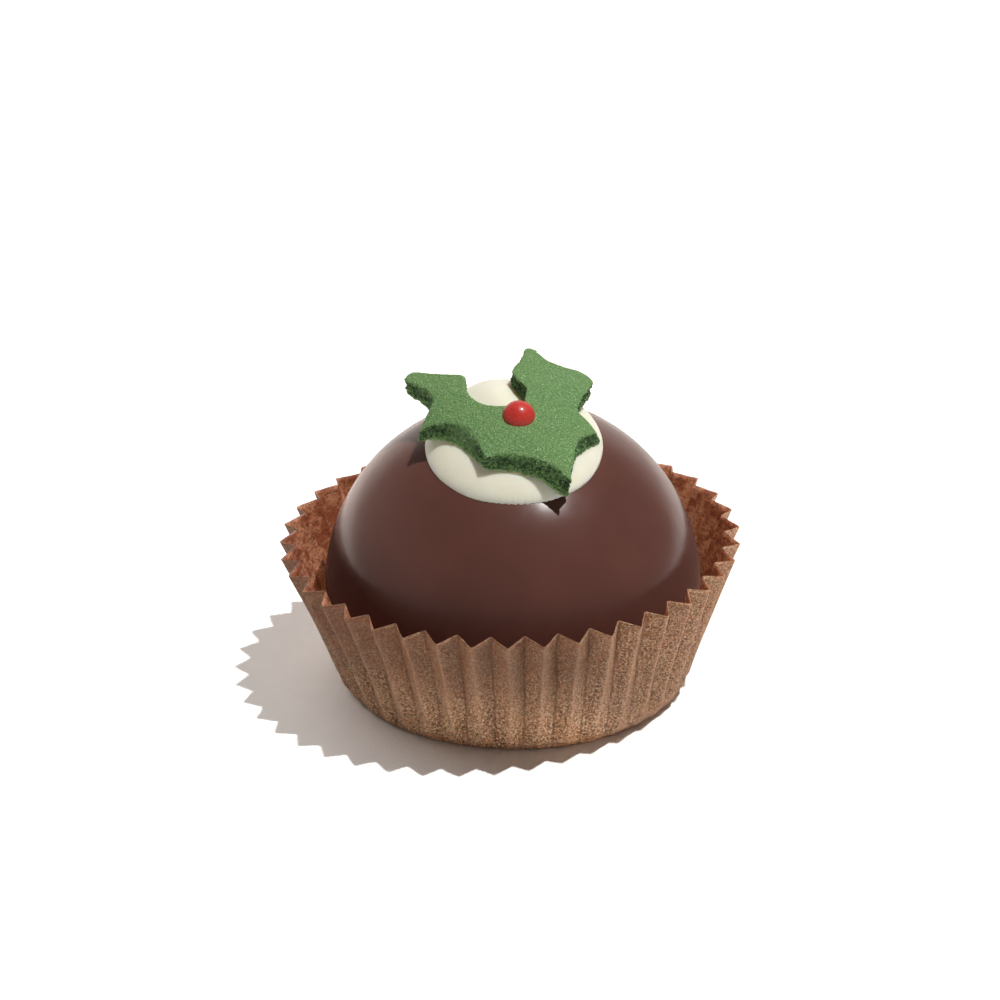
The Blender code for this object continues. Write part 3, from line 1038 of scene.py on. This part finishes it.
# %% Leaf slab
def make_leaf_slab():
    """The leaf as a plain slab with sloping sides, bent over the icing."""
    top_edge = bowed_outline([row[:3] for row in LEAF_CORNERS])
    foot_edge = bowed_outline([row[3:] for row in LEAF_CORNERS])
    shape = bmesh.new()
    foot = [shape.verts.new((point.x, point.y, -LEAF_THICKNESS)) for point in foot_edge]
    shape.faces.new(foot)
    grown = bmesh.ops.extrude_face_region(shape, geom=list(shape.faces), use_keep_orig=True)["geom"]
    top = {item.co.to_tuple(7): item for item in grown if isinstance(item, bmesh.types.BMVert)}
    for below, point in zip(foot, top_edge):
        top[below.co.to_tuple(7)].co = (point.x, point.y, 0.0)
    bmesh.ops.recalc_face_normals(shape, faces=shape.faces)
    for axis in (Vector((1, 0, 0)), Vector((0, 1, 0))):
        cells = int(LEAF_REACH / LEAF_CELL)
        for cell in range(-cells, cells + 1):
            bmesh.ops.bisect_plane(shape, geom=shape.verts[:] + shape.edges[:] + shape.faces[:],
                                   plane_co=axis * LEAF_CELL * (cell + LEAF_CELL_OFFSET),
                                   plane_no=axis)
    for vert in shape.verts:
        flat = vert.co.xy
        vert.co = wrap(flat, leaf_radius(flat, 1.0 + vert.co.z / LEAF_THICKNESS))
    bmesh.ops.triangulate(shape, faces=shape.faces)
    print("leaf slab:", len(shape.faces), "triangles")
    return shape


# %% Leaf wear
LEAF_VOXEL = 0.11 * MM
LEAF_SMOOTHING = 7
FURROW_DEPTH = 0.26 * MM             # the knife left a furrow along the upper half of the sides
FURROW_PLACE = 0.38
FURROW_WIDTH = 0.20
WALL_FROM = 0.80                     # how much a face looks up where a side starts
WALL_BLEND = 0.45                    # and over how much it becomes a full side
RIM_FROM = 0.80                      # the pale rim, painted light on the foot of the sides, starts this share of the way down
RIM_BLEND = 0.15
CRUMB_LAYERS = (
    # length along the side, length up the side, depth on the sides, depth on the top
    (1.3 * MM, 1.0 * MM, 0.08 * MM, 0.030 * MM),
    (0.80 * MM, 0.24 * MM, 0.11 * MM, 0.014 * MM),
    (0.36 * MM, 0.22 * MM, 0.11 * MM, 0.016 * MM),
)


def remesh(shape, voxel):
    """Gives a closed shape an even skin of small quads, with a Remesh modifier."""
    holder = mesh_object("remesh", shape)
    mesh = holder.data
    modifier = holder.modifiers.new("Voxels", "REMESH")
    modifier.mode = "VOXEL"
    modifier.voxel_size = voxel
    graph = bpy.context.evaluated_depsgraph_get()
    result = bmesh.new()
    result.from_mesh(holder.evaluated_get(graph).to_mesh())
    bpy.data.objects.remove(holder)
    bpy.data.meshes.remove(mesh)
    return result


def wear_leaf(shape):
    """Rounds the leaf's edges and crumbles its sides; stores how steep each point is."""
    relax(shape, shape.verts, LEAF_SMOOTHING)
    shape.normal_update()
    wall, rim, furrow_shade = (shape.verts.layers.float.new(name) for name in ("wall", "rim", "furrow_shade"))
    moves = []
    for vert in shape.verts:
        upward = vert.normal.dot(vert.co.normalized())
        steep = clamp((WALL_FROM - upward) / WALL_BLEND)
        vert[wall] = steep
        height = vert.co.length
        flat, below = unwrap(vert.co)
        furrow = math.exp(-((below - FURROW_PLACE) / FURROW_WIDTH) ** 2)
        strength = max(0.6 + 0.8 * noise.noise(Vector((flat.x, flat.y, 0.0)) / (2.0 * MM)), 0.0)
        move = -FURROW_DEPTH * furrow * steep * strength
        vert[furrow_shade] = min(furrow * steep * strength, 1.0)
        vert[rim] = clamp((below - RIM_FROM) / RIM_BLEND)
        for along, up, side_depth, top_depth in CRUMB_LAYERS:
            place = vert.co / along + Vector((0.0, 0.0, height / up))
            move += noise.noise(place) * between((top_depth, side_depth), steep)
        moves.append(vert.normal * move)
    for vert, move in zip(shape.verts, moves):
        vert.co += move


def make_leaf():
    shape = remesh(make_leaf_slab(), LEAF_VOXEL)
    wear_leaf(shape)
    bmesh.ops.transform(shape, matrix=TOPPING_FRAME, verts=shape.verts)
    bmesh.ops.recalc_face_normals(shape, faces=shape.faces)
    return new_piece("sugar_paste_leaf", shape, "holly_leaf",
                     (make_leaf_material(),))


sugar_paste_leaf = make_leaf()
report(sugar_paste_leaf)

# %% [markdown]
# ## Sugar grains on the leaf
#
# Loose grains of sugar cling to the paste, most of all along its edges. Particles could scatter
# them, but don't reach an exported model. One mesh of small, turned crystals does.

# %% Sugar grains
GRAIN_COUNT = 520
GRAIN_SIZES = (0.030 * MM, 0.075 * MM)
SKIPPED = 0.55                       # share of the grains away from the edges that is left out


def make_sugar_material():
    material, tree, surface, place = new_material("sugar_crystal")
    tint = grain(tree, place, 0.5, 0.3, 0.7)
    colour = mix_colours(tree, tint, rgb(176, 204, 160), rgb(226, 234, 216))
    set_inputs(tree, surface, Base_Color=colour, Roughness=0.25)
    return material


def make_sugar_grains(leaf):
    pick = random.Random(5)
    wall = leaf.data.attributes["wall"].data
    verts = leaf.data.vertices
    shape = bmesh.new()
    placed = 0
    while placed < GRAIN_COUNT:
        vert = verts[pick.randrange(len(verts))]
        steep = wall[vert.index].value
        on_edge = 0.1 < steep < 0.9
        if (vert.co - BALL_CENTRE).length < LEAF_TOP_RADIUS - LEAF_THICKNESS * 0.9:
            continue
        if not on_edge and pick.random() < SKIPPED:
            continue
        size = between(GRAIN_SIZES, pick.random() ** 2)
        turn = Matrix.Rotation(pick.uniform(0, math.pi), 4, Vector((pick.random(), pick.random(), 1)))
        stretch = Matrix.Diagonal((1.0, pick.uniform(0.6, 1.0), pick.uniform(0.5, 0.9), 1.0))
        centre = vert.co + vert.normal * size * 0.2
        bmesh.ops.create_icosphere(shape, subdivisions=1, radius=size,
                                   matrix=Matrix.Translation(centre) @ turn @ stretch)
        placed += 1
    piece = new_piece("sugar_grains", shape, "holly_leaf",
                      (make_sugar_material(),))
    piece.data.shade_flat()
    return piece


sugar_grains = make_sugar_grains(sugar_paste_leaf)
report(sugar_grains)

# %% [markdown]
# ## Berry
#
# The berry is a ball of red sugar with a hard glaze, pressed into the leaf. It is spun from half
# a circle and given the faint lumps of a sugar ball. A clear coat over a rougher red keeps the
# small sharp light of the glaze apart from the soft body under it.

# %% Berry
BERRY_RADIUS = 1.42 * MM
BERRY_PLACE = Vector((0.47, -1.83)) * MM
BERRY_SUNK = 0.27 * MM
BERRY_LUMPS = ((0.9 * MM, 0.025 * MM), (0.28 * MM, 0.010 * MM))
BERRY_POINTS = 48
BERRY_STEPS = 72


def make_berry_material():
    material, tree, surface, place = new_material("red_sugar")
    drift = grain(tree, place, 0.7, 0.30, 0.70)
    specks = grain(tree, place, 0.10, 0.60, 0.72)
    base = mix_colours(tree, drift, (0.50, 0.029, 0.023, 1.0), (0.58, 0.040, 0.030, 1.0))
    base = stain(tree, base, specks, 0.4, (0.75, 0.20, 0.14, 1.0))
    set_inputs(tree, surface, Base_Color=base, Roughness=0.42, Specular_IOR_Level=0.3,
               Coat_Weight=0.35, Coat_Roughness=0.12)
    add_relief(tree, surface, specks, 0.012 * MM)
    return material


def make_berry():
    shape = spin_profile(arc(BERRY_RADIUS, 0.0, math.pi, BERRY_POINTS), BERRY_STEPS)
    shape.normal_update()
    roughen(shape, BERRY_LUMPS)
    place = wrap(BERRY_PLACE, leaf_radius(BERRY_PLACE, 1.0) - BERRY_SUNK)
    bmesh.ops.transform(shape, matrix=TOPPING_FRAME @ Matrix.Translation(place), verts=shape.verts)
    return new_piece("sugar_berry", shape, "berry", (make_berry_material(),))


sugar_berry = make_berry()
report(sugar_berry)

# %% [markdown]
# ## Sizes
#
# The looks must not change the size of the sweet. The box of the plain solids and the box of
# the finished pieces are written side by side, so that they can be compared.

# %% Sizes
VISUAL_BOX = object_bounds()
for label, low, high in zip("xyz", VISUAL_BOX[0] - CAD_BOX[0], VISUAL_BOX[1] - CAD_BOX[1]):
    print(f"{label}: low side {low / MM:+.3f} mm, high side {high / MM:+.3f} mm from the solids")
